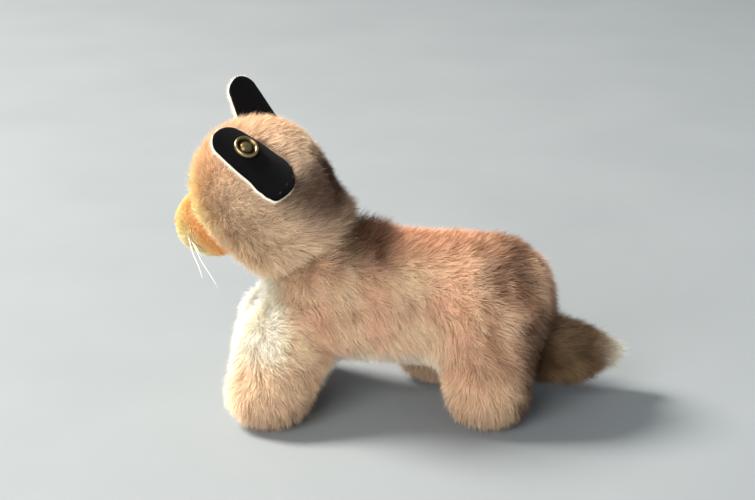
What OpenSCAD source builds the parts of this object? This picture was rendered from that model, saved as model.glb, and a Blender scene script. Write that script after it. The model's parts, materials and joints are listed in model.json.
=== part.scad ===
// Small standing plush cat with a swivel head and a sewn, wired tail.
// Millimetres. The cat faces -Y, its left side is +X, and its feet stand on z = 0.

/* [Torso] */
// Radius of the stuffed torso, over its pile
torso_r = 17; // [15:0.5:20]
// Height of the torso's middle above the floor
torso_z = 29; // [26:0.2:32]
// Place of the chest's middle, in front of the origin
chest_y = -16.2; // [-20:0.2:-14]
// Place of the rump's middle, behind the origin
rump_y = 22.8; // [20:0.2:28]
// Drop of the rump below the line of the back
rump_drop = 2.2; // [0:0.2:3]
// Thickness of the plush, cloth backing and pile together
plush_t = 3; // [2:0.1:3.6]
// Height up to which the belly gusset reaches
gusset_top = 17.8; // [16:0.2:20]

/* [Legs] */
// Radius of a leg at the foot, over its pile
leg_r = 10.8; // [9:0.2:11.6]
// Distance between the middles of the left and right feet
stance_w = 29; // [26:0.5:34]
// Place of the front feet along the body
front_foot_y = -31.4; // [-35:0.2:-28]
// Place of the left hind foot along the body
left_hind_y = 22.3; // [18:0.1:24]
// Place of the right hind foot, which steps forward
right_hind_y = 10.5; // [8:0.5:22]
// Rounding of the sole's edge
sole_edge_r = 4.6; // [2:0.2:5]
// Radius of the shoulder where a front leg runs into the torso
shoulder_r = 12.8; // [11:0.2:13.6]
// Radius of the haunch where a hind leg runs into the torso
haunch_r = 13.6; // [12:0.2:15]
// Diameter of the wire that stiffens the legs and the tail
wire_d = 1.2; // [0.8:0.1:1.8]

/* [Neck joint] */
// Forward tilt of the swivel axis from upright
neck_tilt = 30; // [20:1:36]
// Turn of the head to the cat's right at rest
head_turn = 22; // [0:1:40]
// Depth of the neck's flat below the top of the torso
neck_sink = 3.6; // [3:0.1:5]
// Gap between the head and the body at the neck
neck_gap = 0.3; // [0.2:0.05:0.6]
// Radius of the two fibreboard discs
disc_r = 7.5; // [6:0.25:9]
// Thickness of a fibreboard disc
disc_t = 1.2; // [0.8:0.1:1.8]
// Radius of the two steel washers
washer_r = 3.2; // [2.5:0.1:4]
// Thickness of a steel washer
washer_t = 0.5; // [0.4:0.1:0.8]
// Diameter of the split pin
pin_d = 1.6; // [1.2:0.1:2]
// Length of each leg of the split pin after it is bent over
pin_bend_l = 3.6; // [2.8:0.1:4.6]

/* [Head] */
// Radius of the skull, over its pile
skull_r = 17.3; // [16:0.1:20]
// Height of the skull's middle above the neck
skull_rise = 19.2; // [18:0.2:22]
// Distance of the skull's middle in front of the swivel axis
skull_forward = 1.5; // [0:0.1:3]
// Radius of the jowls, over their pile
jowl_r = 15.4; // [14.5:0.1:16.5]
// Height of the jowls' middle above the neck
jowl_rise = 9.4; // [8.6:0.2:11]
// Width of the middle panel of the head
crown_w = 11; // [8:0.5:14]
// Height above the neck at which the middle panel starts
crown_start = 13; // [11:0.5:15]

/* [Muzzle and face] */
// Radius of the muzzle, over its short pile
muzzle_r = 8.2; // [7:0.1:9]
// Distance of the muzzle's middle in front of the swivel axis
muzzle_forward = 20.4; // [19:0.2:22]
// Height of the muzzle's middle above the neck
muzzle_rise = 16; // [14:0.2:18]
// Thickness of the sheared muzzle plush
muzzle_t = 1.6; // [1.2:0.1:2]
// Diameter of a glass eye
eye_d = 5; // [4:0.1:6]
// Angle of each eye to the side of straight ahead
eye_angle = 19; // [15:1:24]
// Angle of each eye above the skull's middle
eye_lift = 9; // [4:1:16]
// Width of the sewn nose
nose_w = 4.4; // [3.4:0.2:5.4]
// Diameter of a whisker thread
whisker_d = 0.3; // [0.2:0.05:0.5]
// Length of a whisker from its root in the muzzle
whisker_l = 18; // [10:1:22]

/* [Ears] */
// Length of an ear
ear_l = 22.4; // [19:0.2:26]
// Width of an ear at its base
ear_w = 12.6; // [10:0.2:14]
// Radius of the ear's rounded tip
ear_tip_r = 3.7; // [3:0.1:4.4]
// Radius to which an ear is cupped
ear_cup_r = 14; // [10:0.5:20]
// Thickness of the black velvet back of an ear
ear_back_t = 0.6; // [0.4:0.1:0.9]
// Thickness of the white plush lining of an ear
ear_lining_t = 1.1; // [0.8:0.1:1.5]
// Diameter of the brass stud in the left ear
stud_d = 6.1; // [5:0.1:7]
// Distance of the stud's middle above the ear's base
stud_up = 14.6; // [12:0.2:16]

/* [Tail] */
// Radius of the tail's root, over its pile
tail_r = 8.6; // [7:0.1:9.4]
// Length of the tail from its hinge to its tip
tail_l = 19; // [15:0.5:24]
// Angle below level at which the tail sits on the rump
tail_drop = 41; // [38:1:50]
// Distance that the tail's hinge stands outside the rump
tail_proud = 3; // [2:0.1:4]
// Sideways lean of the tail at rest, to the cat's right
tail_lean = 10; // [0:1:16]
// Gap between the tail's root and the rump
tail_gap = 0.3; // [0.2:0.05:0.6]

/* [Hidden] */
$fn = 48;
// Roundness of the blended soft shapes, and of the wire channels in the stuffing
soft_fn = 28;
channel_fn = 12;

// Clearances: snug pieces of one body, a turning pin in its bore, and loose pockets
fit_gap = 0.05;
bore_gap = 0.06;
pocket_gap = 0.15;
// A size well beyond the whole cat, for half-space cuts
far = 150;

foot_x = stance_w / 2;
chest_pos = [0, chest_y, torso_z];
rump_pos = [0, rump_y, torso_z - rump_drop];
neck_rise = torso_r - neck_sink;
neck_pos = chest_pos + neck_rise * [0, -sin(neck_tilt), cos(neck_tilt)];
tail_pos = rump_pos + (torso_r + tail_proud) * [0, cos(tail_drop), -sin(tail_drop)];

// Feet as [side, place along the body, radius and backward shift of the leg's root, its height]
front_root_z = 17.3;
hind_root_z = 24.4;
FEET = [
    [1, front_foot_y, shoulder_r, 3.6, front_root_z],
    [-1, front_foot_y, shoulder_r, 3.6, front_root_z],
    [1, left_hind_y, haunch_r, -1, hind_root_z],
    [-1, right_hind_y, haunch_r, 5, hind_root_z]
];
leg_root_x = 8.5;
foot_h = 10;
// Height at which the leg wires end, just above the soles' plush
wire_low = plush_t + 0.5;

// Heights along the swivel axis, measured from the neck's middle
skin_face = neck_gap / 2;
disc_face = skin_face + plush_t + fit_gap;
washer_face = disc_face + disc_t + fit_gap;
pin_face = washer_face + washer_t + pocket_gap;
pin_wire_d = pin_d * 0.62;
pin_loop_r = 1.7;

// Stitches are short lengths of strong thread
thread_d = 0.4;

// ---------- Frames ----------

// Puts its children on the swivel axis: z along the axis, without the head's turn
module neck_frame() {
    translate(neck_pos) rotate([neck_tilt, 0, 0]) children();
}

// Puts its children in the turned head: x to its left, -y to its face, z up the axis
module head_frame() {
    neck_frame() rotate([0, 0, -head_turn]) children();
}

// Puts its children at the tail's hinge, with y along the tail
module tail_frame() {
    translate(tail_pos) rotate([0, 0, tail_lean]) children();
}

// A straight round bar between two points
module bar(from, to, r1, r2) {
    d = to - from;
    len = norm(d);
    translate(from)
        rotate([0, acos(d[2] / len), atan2(d[1], d[0])])
            cylinder(r1 = r1, r2 = r2, h = len);
}

// A wire bent along a list of points, with a swelling at each elbow
elbow = 1.25;
module wire(points, d) {
    for (i = [0 : len(points) - 2])
        bar(points[i], points[i + 1], d / 2, d / 2);
    for (i = [1 : len(points) - 2])
        translate(points[i]) sphere(d = d * elbow);
}

// ---------- Body forms ----------

function leg_root(foot) =
    [foot[0] * leg_root_x, foot[1] + foot[3], foot[4]];

// One leg, drawn inward by an inset on every side: a foot with a rounded sole, and its limb
sole_turns = [0, 30, 60, 90];
module leg_form(foot, inset) {
    r = leg_r - inset;
    $fn = soft_fn;
    hull() for (turn = sole_turns)
        translate([foot[0] * foot_x, foot[1], inset + sole_edge_r * (1 - sin(turn))])
            cylinder(
                r = r - sole_edge_r * (1 - cos(turn)),
                h = foot_h - inset - sole_edge_r * (1 - sin(turn))
            );
    hull() {
        translate([foot[0] * foot_x, foot[1], foot_h - 3]) cylinder(r = r, h = 1);
        translate(leg_root(foot)) sphere(r = foot[2] - inset);
    }
}

module body_form(inset) {
    difference() {
        union() {
            hull() for (pos = [chest_pos, rump_pos])
                translate(pos) sphere(r = torso_r - inset, $fn = soft_fn);
            for (foot = FEET)
                leg_form(foot, inset);
        }
        neck_frame() translate([0, 0, -skin_face - inset]) cylinder(r = far, h = far);
        translate(tail_pos) sphere(r = tail_r + tail_gap + inset, $fn = soft_fn);
    }
}

module body_shell() {
    difference() {
        body_form(0);
        body_form(plush_t);
        neck_frame() cylinder(d = pin_d + 2 * pocket_gap, h = 4 * plush_t, center = true);
    }
}

// The block of space that the belly gusset fills, between the middles of the legs
module gusset_block() {
    translate([-foot_x, -far / 2, -far]) cube([stance_w, far, far + gusset_top]);
}

// ---------- Body ----------

module side_panel(side) {
    color("tan") difference() {
        intersection() {
            body_shell();
            translate([side > 0 ? 0 : -far, -far / 2, -far / 2]) cube([far, far, far]);
        }
        gusset_block();
        if (side < 0) closing_bars(thread_d + 2 * fit_gap, $fn = channel_fn);
    }
}

module left_body_panel() side_panel(1);

module right_body_panel() side_panel(-1);

module belly_gusset() {
    color("ivory") difference() {
        intersection() {
            body_shell();
            gusset_block();
        }
        closing_bars(thread_d + 2 * fit_gap, $fn = channel_fn);
    }
}

module body_stuffing() {
    color("burlywood") difference() {
        body_form(plush_t + fit_gap);
        for (end = [-1, 1])
            leg_wire(end, wire_d + 2 * pocket_gap, $fn = channel_fn);
        for (foot = FEET)
            translate([foot[0] * foot_x, foot[1], 0])
                cylinder(d = wire_d + 2 * pocket_gap, h = wire_low + wire_d, $fn = channel_fn);
        neck_frame() {
            depth = disc_t + washer_t + 3 * pocket_gap;
            translate([0, 0, -disc_face - depth])
                cylinder(r = disc_r + pocket_gap, h = depth + far);
            translate([0, 0, -pin_face - pin_wire_d - 3 * pocket_gap])
                cylinder(r = pin_bend_l + 2 * pocket_gap, h = far);
        }
    }
}

// A wire over a pair of legs; end -1 is the front pair and 1 the hind pair
module leg_wire(end, d) {
    pair = end < 0 ? [FEET[0], FEET[1]] : [FEET[2], FEET[3]];
    wire([
        [foot_x, pair[0][1], wire_low],
        leg_root(pair[0]),
        leg_root(pair[1]),
        [-foot_x, pair[1][1], wire_low]
    ], d);
}

module front_leg_wire() {
    color("silver") leg_wire(-1, wire_d);
}

module hind_leg_wire() {
    color("silver") leg_wire(1, wire_d);
}

// Hand stitches that close the flank between the right panel and the gusset
stitch_n = 6;
stitch_pitch = 2.6;
stitch_l = 1.6;
module closing_bars(d) {
    side_z = gusset_top - torso_z;
    // The flank's surface at the height of the seam
    seam_x = sqrt(torso_r * torso_r - side_z * side_z);
    for (i = [0 : stitch_n - 1])
        translate([thread_d / 2 - seam_x, (i - (stitch_n - 1) / 2) * stitch_pitch - 4, gusset_top])
            rotate([25, 40, 0]) cylinder(d = d, h = stitch_l, center = true);
}

module closing_stitches() {
    color("wheat") closing_bars(thread_d);
}

module joint_disc(r, t) {
    difference() {
        cylinder(r = r, h = t);
        translate([0, 0, -t]) cylinder(d = pin_d + 2 * bore_gap, h = 3 * t);
    }
}

module body_disc() {
    color("saddlebrown") neck_frame()
        translate([0, 0, -disc_face - disc_t]) joint_disc(disc_r, disc_t);
}

module body_washer() {
    color("silver") neck_frame()
        translate([0, 0, -washer_face - washer_t]) joint_disc(washer_r, washer_t);
}

// ---------- Tail ----------

tail_mid_l = tail_l * 0.36;
tail_mid_r = tail_r * 0.84;
tail_end_r = 2.8;

module tail_form(inset) {
    mid = [0, tail_mid_l, -1.5];
    tip = [0, tail_l - tail_end_r, -2];
    end_r = max(tail_end_r - inset, 0.5);
    tail_frame() {
        sphere(r = tail_r - inset);
        bar([0, 0, 0], mid, 0.97 * (tail_r - inset), 0.97 * (tail_mid_r - inset));
        translate(mid) sphere(r = tail_mid_r - inset);
        bar(mid, tip, 0.97 * (tail_mid_r - inset), 0.97 * end_r);
        translate(tip) sphere(r = end_r);
    }
}

module tail_skin() {
    color("peru") difference() {
        tail_form(0);
        tail_form(plush_t);
        tail_ring(thread_d + 2 * fit_gap);
    }
}

module tail_stuffing() {
    color("burlywood") difference() {
        tail_form(plush_t + fit_gap);
        tail_core(wire_d + 2 * fit_gap);
    }
}

module tail_core(d) {
    tail_frame() wire([[0, -tail_r / 3, 0], [0, tail_l / 3, -1], [0, tail_l * 0.6, -1.5]], d);
}

module tail_wire() {
    color("silver") tail_core(wire_d);
}

// A ring of thread drawn round the tail's root, half sunk in its plush
module tail_ring(d) {
    back = tail_r * 0.35;
    ring_r = sqrt(tail_r * tail_r - back * back) - thread_d / 4;
    tail_frame() translate([0, -back, 0]) rotate([-90, 0, 0])
        rotate_extrude() translate([ring_r, 0]) circle(d = d);
}

module tail_stitches() {
    color("wheat") tail_ring(thread_d);
}

// ---------- Head forms ----------

skull_pos = [0, -skull_forward, skull_rise];
jowl_pos = [0, 0, jowl_rise];
muzzle_pos = [0, -muzzle_forward, muzzle_rise];

module head_form(inset) {
    difference() {
        union() {
            translate(skull_pos) sphere(r = skull_r - inset);
            translate(jowl_pos) sphere(r = jowl_r - inset);
        }
        translate([0, 0, skin_face + inset - far]) cylinder(r = far, h = far);
    }
}

chin_r = muzzle_r * 0.8;
chin_pos = muzzle_pos + [0, 3.2, -2.6];

module muzzle_form(inset) {
    translate(muzzle_pos) sphere(r = muzzle_r - inset);
    translate(chin_pos) sphere(r = chin_r - inset);
}

// Places its children at an eye, with y pointing into the head
module eye_frame(side) {
    translate(skull_pos)
        rotate([0, 0, side * eye_angle]) rotate([-eye_lift, 0, 0])
            translate([0, -skull_r + eye_d * 0.32, 0]) children();
}

module eye_pockets() {
    for (side = [-1, 1])
        eye_frame(side) {
            sphere(d = eye_d + 2 * fit_gap);
            eye_shank(thread_d + 2 * fit_gap);
        }
}

// The straight part of an eye's wire, behind the glass
eye_shank_l = 7;
module eye_shank(d) {
    rotate([-90, 0, 0]) cylinder(d = d, h = eye_shank_l);
}

module head_shell() {
    difference() {
        head_form(0);
        head_form(plush_t);
        muzzle_form(muzzle_t);
        cylinder(d = pin_d + 2 * pocket_gap, h = 4 * plush_t, center = true);
        eye_pockets();
        for (side = [-1, 1]) {
            ear_frame(side) ear_pocket();
            ear_threads(side, thread_d + 2 * fit_gap);
        }
    }
}

module crown_block() {
    translate([-crown_w / 2, -far / 2, crown_start]) cube([crown_w, far, far]);
}

// ---------- Head ----------

module head_side(side) {
    color("wheat") head_frame() difference() {
        intersection() {
            head_shell();
            translate([side > 0 ? 0 : -far, -far / 2, -far / 2]) cube([far, far, far]);
        }
        crown_block();
    }
}

module left_head_panel() head_side(1);

module right_head_panel() head_side(-1);

module crown_panel() {
    color("peachpuff") head_frame() intersection() {
        head_shell();
        crown_block();
    }
}

module head_stuffing() {
    color("burlywood") head_frame() difference() {
        union() {
            head_form(plush_t + fit_gap);
            muzzle_form(muzzle_t + fit_gap);
        }
        eye_pockets();
        for (side = [-1, 1])
            eye_frame(side) translate([0, eye_shank_l + 1, 0])
                cube([3, 3, 3], center = true);
        for (side = [-1, 1]) {
            ear_frame(side) ear_pocket();
            ear_threads(side, thread_d + 2 * fit_gap);
        }
        cylinder(r = disc_r + pocket_gap, h = washer_face + washer_t + pocket_gap);
        cylinder(r = washer_r + pocket_gap, h = pin_face + 2 * pin_loop_r + 2 * pin_wire_d);
    }
}

module head_disc() {
    color("saddlebrown") head_frame() translate([0, 0, disc_face]) joint_disc(disc_r, disc_t);
}

module head_washer() {
    color("silver") head_frame() translate([0, 0, washer_face]) joint_disc(washer_r, washer_t);
}

// Split pin: a loop above the head's washer, a shank, and two legs bent over inside the body
module neck_pin() {
    loop_z = pin_face + pin_loop_r + pin_wire_d / 2;
    color("silver") head_frame() {
        translate([0, 0, -pin_face - pin_wire_d / 2]) {
            cylinder(d = pin_d, h = 2 * pin_face + pin_wire_d);
            rotate([0, 90, 0])
                cylinder(d = pin_wire_d, h = 2 * pin_bend_l, center = true);
        }
        translate([0, 0, loop_z]) rotate([90, 0, 0])
            rotate_extrude() translate([pin_loop_r, 0]) circle(d = pin_wire_d);
    }
}

module muzzle_cover() {
    color("sandybrown") head_frame() difference() {
        muzzle_form(0);
        muzzle_form(muzzle_t);
        head_form(-fit_gap);
        eye_pockets();
        whisker_set(1, whisker_d + fit_gap);
        whisker_set(-1, whisker_d + fit_gap);
    }
}

module glass_eye(side) {
    color("orange") head_frame() eye_frame(side) difference() {
        sphere(d = eye_d);
        eye_shank(thread_d + 2 * fit_gap);
    }
}

module left_eye() glass_eye(1);

module right_eye() glass_eye(-1);

// Wire shanks of the eyes, each ending in a small loop in the stuffing
module eye_wires() {
    loop_r = 0.9;
    color("silver") head_frame() for (side = [-1, 1])
        eye_frame(side) {
            eye_shank(thread_d);
            translate([0, eye_shank_l + loop_r, 0])
                rotate_extrude() translate([loop_r, 0]) circle(d = thread_d * elbow);
        }
}

// A thin layer of thread on the muzzle, cut to a flat outline that faces forward
thread_layer = 0.5;
module on_muzzle(lift) {
    intersection() {
        difference() {
            translate(muzzle_pos) sphere(r = muzzle_r + thread_layer);
            translate(muzzle_pos) sphere(r = muzzle_r + fit_gap);
        }
        translate(muzzle_pos) rotate([-lift, 0, 0]) rotate([90, 0, 0])
            linear_extrude(height = 2 * muzzle_r) children();
    }
}

nose_h = nose_w * 0.62;
module nose_stitches() {
    color("lightpink") head_frame() on_muzzle(24)
        polygon([
            [-nose_w / 2, nose_h / 2], [-nose_w / 3, nose_h * 0.62], [nose_w / 3, nose_h * 0.62],
            [nose_w / 2, nose_h / 2], [nose_w / 8, -nose_h / 2], [-nose_w / 8, -nose_h / 2]
        ]);
}

// One upright stitch below the nose, and two that spread from its lower end
module mouth_stitches() {
    upright = 2.4;
    spread = 3;
    color("indianred") head_frame() on_muzzle(0) translate([0, 0.6]) {
        translate([-thread_d / 2, -upright]) square([thread_d, upright]);
        for (turn = [-125, 125])
            translate([0, -upright]) rotate(turn)
                translate([-thread_d / 2, 0]) square([thread_d, spread]);
    }
}

// Whisker threads of one side, which leave one place on the muzzle and fan apart
whisker_turns = [123, 114];
whisker_dips = [43, 30];
module whisker_set(side, d) {
    root_r = muzzle_r - muzzle_t * 0.6;
    for (i = [0 : 1])
        translate(muzzle_pos + root_r * [side * 0.91, -0.41, 0.02 + 0.1 * i])
            rotate([0, 0, side * whisker_turns[i]]) rotate([90 + whisker_dips[i], 0, 0])
                cylinder(d = d, h = whisker_l);
}

module left_whiskers() {
    color("white") head_frame() whisker_set(1, whisker_d);
}

module right_whiskers() {
    color("white") head_frame() whisker_set(-1, whisker_d);
}

// ---------- Ears ----------

// Where each ear is sewn on, and how it is turned, leaned back and swung, for [right, left]
ear_seat = [[-14.1, -0.6, 20.4], [12.6, 14.3, 18.4]];
ear_yaw = [-19, -22];
ear_lean = [11, 26];
ear_swing = [-12, 9];

// Puts its children at an ear: z from its base to its tip, y out of its back
module ear_frame(side) {
    i = side > 0 ? 1 : 0;
    translate(ear_seat[i])
        rotate([0, 0, ear_yaw[i]]) rotate([ear_lean[i], 0, 0]) rotate([0, ear_swing[i], 0])
            children();
}

// The outline of an ear: a wide round base and a narrow round tip, joined by tangents
module ear_outline(grow) {
    base_r = ear_w / 2;
    span = ear_l - base_r - ear_tip_r;
    slope = asin((base_r - ear_tip_r) / span);
    tip_r = ear_tip_r + grow;
    low_r = base_r + grow;
    translate([0, base_r]) {
        circle(r = low_r);
        translate([0, span]) circle(r = tip_r);
        polygon([
            [low_r * cos(slope), low_r * sin(slope)],
            [tip_r * cos(slope), span + tip_r * sin(slope)],
            [-tip_r * cos(slope), span + tip_r * sin(slope)],
            [-low_r * cos(slope), low_r * sin(slope)]
        ]);
    }
}

// A cupped sheet in the outline of an ear, between two depths below its back
module ear_layer(top, bottom, grow) {
    intersection() {
        translate([0, -ear_cup_r, -far / 2]) difference() {
            cylinder(r = ear_cup_r - top, h = far);
            cylinder(r = ear_cup_r - bottom, h = far);
        }
        translate([0, ear_cup_r / 2, 0]) rotate([90, 0, 0])
            linear_extrude(height = ear_cup_r) ear_outline(grow);
    }
}

// The space that an ear takes out of the plush of the head
module ear_pocket() {
    inner_r = ear_cup_r - ear_back_t - ear_lining_t;
    cup_depth = ear_cup_r - sqrt(inner_r * inner_r - ear_w * ear_w / 4);
    translate([0, pocket_gap, 0]) rotate([90, 0, 0])
        linear_extrude(height = cup_depth + 2 * pocket_gap) ear_outline(fit_gap);
}

// Sideways place of the stud's middle, from the middle line of the ear
stud_side = -1.5;
stud_shank_d = 1.4;

// Puts its children on the back of the left ear at the stud, with z out of the ear
module stud_frame() {
    around = asin(stud_side / ear_cup_r);
    ear_frame(1) translate([0, -ear_cup_r, stud_up])
        rotate([0, 0, -around]) translate([0, ear_cup_r, 0]) rotate([-90, 0, 0]) children();
}

module ear_back(side) {
    color([0.07, 0.07, 0.08]) head_frame() difference() {
        ear_frame(side) ear_layer(0, ear_back_t, 0);
        ear_threads(side, thread_d + 2 * fit_gap);
        if (side > 0) stud_frame() cylinder(d = stud_shank_d + 2 * fit_gap, h = 8, center = true);
    }
}

module ear_lining(side) {
    color("ivory") head_frame() difference() {
        ear_frame(side) ear_layer(ear_back_t + fit_gap, ear_back_t + ear_lining_t, 0);
        ear_threads(side, thread_d + 2 * fit_gap);
        if (side > 0) stud_frame() cylinder(d = stud_shank_d + 2 * fit_gap, h = 8, center = true);
    }
}

module left_ear_back() ear_back(1);

module left_ear_lining() ear_lining(1);

module right_ear_back() ear_back(-1);

module right_ear_lining() ear_lining(-1);

// Threads that sew the base of one ear through the plush of the head
module ear_threads(side, d) {
    for (place = [-3, 0, 3])
        ear_frame(side) translate([place, 0.5, 1.6]) rotate([90, 0, 0])
            cylinder(d = d, h = 5);
}

module ear_stitches() {
    color("dimgray") head_frame() {
        ear_threads(-1, thread_d);
        ear_threads(1, thread_d);
    }
}

// A plain stud: a cap with a raised rim and a low dome, and a shank clinched behind the ear
module ear_stud() {
    cap_h = 0.5;
    rim_h = 1.2;
    rim_w = 0.6;
    dome_r = 2.1;
    through = ear_back_t + ear_lining_t + 0.2;
    color("darkgoldenrod") head_frame() stud_frame() {
        translate([0, 0, 0.1]) {
            cylinder(d = stud_d, h = cap_h);
            difference() {
                cylinder(d = stud_d, h = rim_h);
                cylinder(d = stud_d - 2 * rim_w, h = 2 * rim_h);
            }
            intersection() {
                translate([0, 0, cap_h - dome_r * 1.6]) sphere(r = dome_r * 2.1);
                cylinder(r = dome_r, h = 2 * rim_h);
            }
        }
        translate([0, 0, -through]) cylinder(d = stud_shank_d, h = through + cap_h);
        translate([0, 0, -through - 0.4]) cylinder(d = stud_d / 2, h = 0.4);
    }
}

left_body_panel();
right_body_panel();
belly_gusset();
body_stuffing();
front_leg_wire();
hind_leg_wire();
closing_stitches();
body_disc();
body_washer();
tail_skin();
tail_stuffing();
tail_wire();
tail_stitches();
left_head_panel();
right_head_panel();
crown_panel();
head_stuffing();
head_disc();
head_washer();
neck_pin();
muzzle_cover();
left_eye();
right_eye();
eye_wires();
nose_stitches();
mouth_stitches();
left_whiskers();
right_whiskers();
left_ear_back();
left_ear_lining();
right_ear_back();
right_ear_lining();
ear_stitches();
ear_stud();
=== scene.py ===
# Looks of the small standing plush cat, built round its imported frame.
import json
import math

import bpy
import numpy as np
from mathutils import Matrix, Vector, kdtree


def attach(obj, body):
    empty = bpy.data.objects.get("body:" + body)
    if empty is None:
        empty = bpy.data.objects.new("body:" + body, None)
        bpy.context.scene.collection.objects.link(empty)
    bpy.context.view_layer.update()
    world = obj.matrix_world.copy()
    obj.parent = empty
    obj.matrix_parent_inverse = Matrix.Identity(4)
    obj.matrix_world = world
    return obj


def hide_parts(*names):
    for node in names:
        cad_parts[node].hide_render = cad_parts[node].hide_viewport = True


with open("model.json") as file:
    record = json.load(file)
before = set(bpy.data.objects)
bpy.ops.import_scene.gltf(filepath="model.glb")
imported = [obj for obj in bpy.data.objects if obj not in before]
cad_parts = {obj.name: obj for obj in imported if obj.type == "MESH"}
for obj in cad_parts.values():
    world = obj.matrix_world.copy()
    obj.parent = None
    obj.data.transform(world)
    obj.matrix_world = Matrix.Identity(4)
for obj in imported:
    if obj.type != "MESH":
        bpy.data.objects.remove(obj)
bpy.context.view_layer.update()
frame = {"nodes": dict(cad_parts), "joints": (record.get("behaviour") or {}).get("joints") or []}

MM = 0.001
joints = {j["name"]: j for j in frame["joints"]}


# ---------- Small helpers ----------

def srgb(r, g, b):
    """Linear colour of an 8-bit sRGB one."""
    c = np.array([r, g, b], float) / 255
    return np.where(c <= 0.04045, c / 12.92, ((c + 0.055) / 1.055) ** 2.4)


def turn(axis, degrees):
    """The matrix of a turn about one axis."""
    c, s = math.cos(math.radians(degrees)), math.sin(math.radians(degrees))
    return np.array({
        "x": [[1, 0, 0], [0, c, -s], [0, s, c]],
        "y": [[c, 0, s], [0, 1, 0], [-s, 0, c]],
        "z": [[c, -s, 0], [s, c, 0], [0, 0, 1]],
    }[axis], float)


def unit(v):
    """The same directions with length one."""
    return v / np.maximum(np.linalg.norm(v, axis=-1, keepdims=True), 1e-9)


def ramp(x, low, high):
    """A smooth rise from 0 at low to 1 at high."""
    t = np.clip((x - low) / (high - low), 0, 1)
    return t * t * (3 - 2 * t)


def mix(a, b, t):
    """Colour a at share 0 and colour b at share 1."""
    t = np.asarray(t)[..., None]
    return a * (1 - t) + b * t


def wave_noise(p, size, seed):
    """Smooth noise from -1 to 1 with features of about that size, in millimetres."""
    rng = np.random.default_rng(seed)
    total = np.zeros(len(p))
    for i in range(7):
        k = unit(rng.normal(size=3)) * (2 * math.pi / size) * rng.uniform(0.6, 1.5)
        total += np.sin(p @ k + rng.uniform(0, 6.28))
    return np.clip(total / 3, -1, 1)


class Place:
    """A frame of the cat: its origin and turn in the row frame, in millimetres."""

    def __init__(self, origin, rotation):
        self.o, self.r = np.array(origin, float), rotation

    def out(self, p):
        """Points of this frame, in the row frame."""
        return np.asarray(p) @ self.r.T + self.o

    def way(self, d):
        """Directions of this frame, in the row frame."""
        return np.asarray(d) @ self.r.T

    def back(self, p):
        """Points of the row frame, in this frame."""
        return (np.asarray(p) - self.o) @ self.r

    def then(self, origin, rotation):
        """A frame placed and turned inside this one."""
        return Place(self.out(np.array(origin, float)), self.r @ rotation)


NECK_TILT, NECK_TURN, TAIL_TURN = 30, -22, 10
HEAD = Place(np.array(joints["neck_swivel"]["pos_m"]) / MM, turn("x", NECK_TILT) @ turn("z", NECK_TURN))
TAIL = Place(np.array(joints["tail_sway"]["pos_m"]) / MM, turn("z", TAIL_TURN))


# ---------- Shapes as distance fields, in millimetres ----------

def ball(p, c, r):
    """Distance from a ball."""
    return np.linalg.norm(p - np.array(c, float), axis=1) - r


def limb(p, a, b, ra, rb):
    """Distance from a rounded bar whose radius runs from ra at a to rb at b."""
    a, b = np.array(a, float), np.array(b, float)
    d = b - a
    t = np.clip((p - a) @ d / (d @ d), 0, 1)
    return np.linalg.norm(p - a - t[:, None] * d, axis=1) - (ra + (rb - ra) * t)


def join(a, b, k):
    """Both shapes, with the crease between them rounded over k."""
    h = np.clip(0.5 + 0.5 * (b - a) / k, 0, 1)
    return b * (1 - h) + a * h - k * h * (1 - h)


def cut(a, b, k):
    """What both shapes share, with the edge between them rounded over k."""
    return -join(-a, -b, k)


CHEST, RUMP, TORSO_R = [0, -16.2, 29], [0, 22.8, 26.8], 17
FOOT_Z, FOOT_R = 8.5, 10.9
SOLE_ROUNDING, LEG_BLEND, SEAM_ROUNDING, NECK_GAP = 3, 6, 1.5, 0.15
# Each leg: the foot's x and y, the leg's top, and its radius there.
LEGS = [
    ((14.5, -31.4), (8.5, -27.8, 17.3), 12.8),
    ((-14.5, -31.4), (-8.5, -27.8, 17.3), 12.8),
    ((14.5, 22.3), (8.5, 21.3, 24.4), 13.6),
    ((-14.5, 10.5), (-8.5, 15.5, 24.4), 13.6),
]
NECK_WAY = HEAD.r[:, 2]


def body_field(p, depth=0.0):
    """Distance from the body's surface, or from a skin at a depth below it."""
    d = limb(p, CHEST, RUMP, TORSO_R, TORSO_R)
    for foot, root, r in LEGS:
        leg = limb(p, (foot[0], foot[1], FOOT_Z), root, FOOT_R, r)
        leg = cut(leg, -p[:, 2], SOLE_ROUNDING)
        d = join(d, leg, LEG_BLEND)
    d = cut(d + depth, (p - HEAD.o) @ NECK_WAY + NECK_GAP, SEAM_ROUNDING)
    return cut(d, -ball(p, TAIL.o, TAIL_SOCKET_R - 0.7 * depth), SEAM_ROUNDING)


SKULL, SKULL_R, JOWL, JOWL_R = [0, -1.5, 19.2], 17.3, [0, 0, 9.4], 15.4
SNOUT, SNOUT_R, CHIN, CHIN_R = [0, -20.4, 16], 8.2, [0, -17.2, 13.4], 6.6
SKULL_BLEND, CHIN_BLEND = 5, 2.5


def head_field(p, depth=0.0):
    """Distance from the head's surface without the muzzle, or from a skin below it."""
    q = HEAD.back(p)
    d = join(ball(q, SKULL, SKULL_R), ball(q, JOWL, JOWL_R), SKULL_BLEND) + depth
    return cut(d, NECK_GAP - q[:, 2], SEAM_ROUNDING)


def muzzle_field(p):
    """Distance from the muzzle's surface."""
    q = HEAD.back(p)
    return join(ball(q, SNOUT, SNOUT_R), ball(q, CHIN, CHIN_R), CHIN_BLEND)


TAIL_MID, TAIL_TIP = [0, 6.8, -1.5], [0, 16.2, -2]
TAIL_ROOT_R, TAIL_MID_R, TAIL_TIP_R, TAIL_SOCKET_R = 8.6, 7.2, 2.8, 8.9
TAIL_BLEND = 3


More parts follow.
